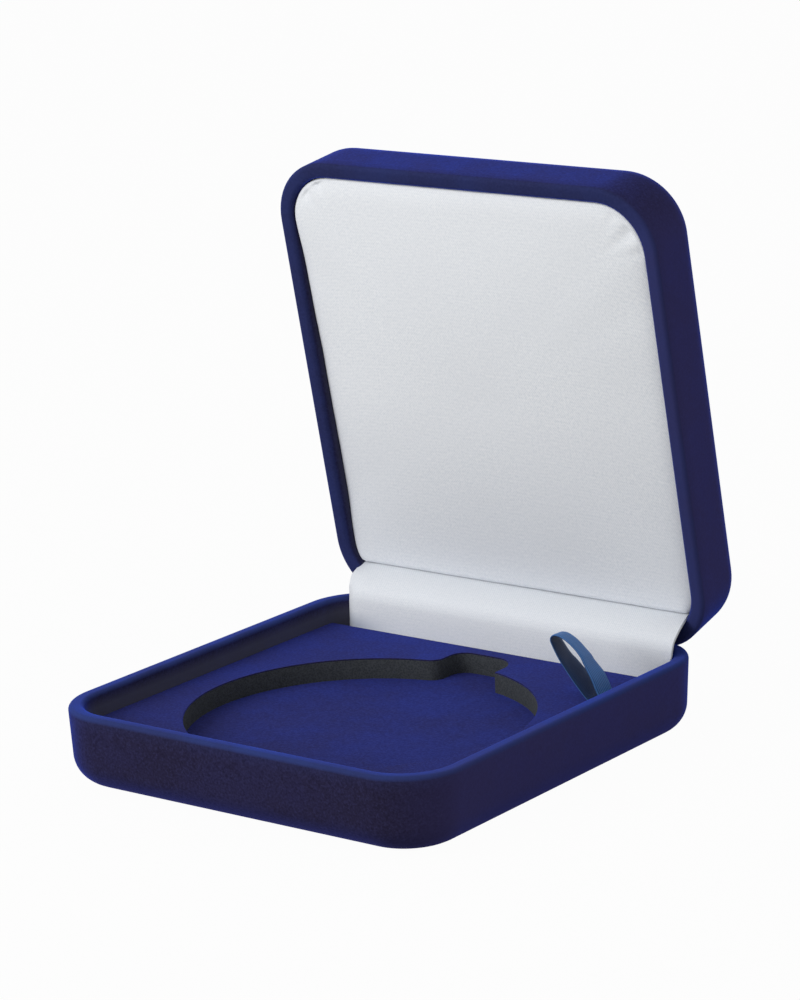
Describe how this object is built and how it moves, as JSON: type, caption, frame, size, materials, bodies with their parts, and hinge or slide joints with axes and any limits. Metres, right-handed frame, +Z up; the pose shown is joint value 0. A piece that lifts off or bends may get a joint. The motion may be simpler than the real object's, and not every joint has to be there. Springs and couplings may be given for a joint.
{
  "type": "medal presentation case",
  "caption": "Hinged velour-covered presentation case, open, with a round medal recess, a ribbon pull loop and a padded satin lid lining.",
  "frame": {"origin": "middle of the base's flat underside", "axes": "+X along the hinge to the right as the case faces its user, +Y to the back and the hinge, +Z up; rest pose is the pictured one, with the lid open at 79 degrees from shut"},
  "size_m": [0.0938, 0.1143, 0.1152],
  "materials": {
    "velour": "blue velour pile",
    "shell_plastic": "moulded, hidden under the covering",
    "bottom_paper": "leather-grain paper",
    "card": "grey board",
    "insert_foam": "dark foam board",
    "pad_foam": "soft foam",
    "satin": "white satin",
    "ribbon": "blue satin ribbon",
    "hinge_steel": "plated steel"
  },
  "bodies": {
    "base": {"base_shell": "shell_plastic", "base_velour": "velour", "base_bottom_sheet": "bottom_paper", "insert_riser": "card", "hinge_base_rivets": "hinge_steel", "hinge_base_leaf_left": "hinge_steel", "hinge_base_leaf_right": "hinge_steel", "hinge_pin_left": "hinge_steel", "hinge_pin_right": "hinge_steel", "hinge_spring_left": "hinge_steel", "hinge_spring_right": "hinge_steel", "hinge_flap": "satin"},
    "lid": {"lid_shell": "shell_plastic", "lid_velour": "velour", "lid_riser": "card", "lid_pad_board": "card", "lid_pad_foam": "pad_foam", "lid_pad_satin": "satin", "hinge_lid_rivets": "hinge_steel", "hinge_lid_leaf_left": "hinge_steel", "hinge_lid_leaf_right": "hinge_steel"},
    "insert": {"insert_board": "card", "insert_floor_velour": "velour", "insert_foam": "insert_foam", "insert_top_velour": "velour", "pull_loop": "ribbon"}
  },
  "joints": [
    {"name": "lid_hinge", "type": "hinge", "parent": "base", "child": "lid", "pos_m": [0, 0.04835, 0.0167], "axis": [1, 0, 0], "range_deg": [0, 79], "deforming": ["hinge_flap", "hinge_spring_left", "hinge_spring_right", "pull_loop"]},
    {"name": "insert_lift", "type": "slide", "parent": "base", "child": "insert", "axis": [0, 0, 1], "range_m": [0, 0.006]}
  ]
}
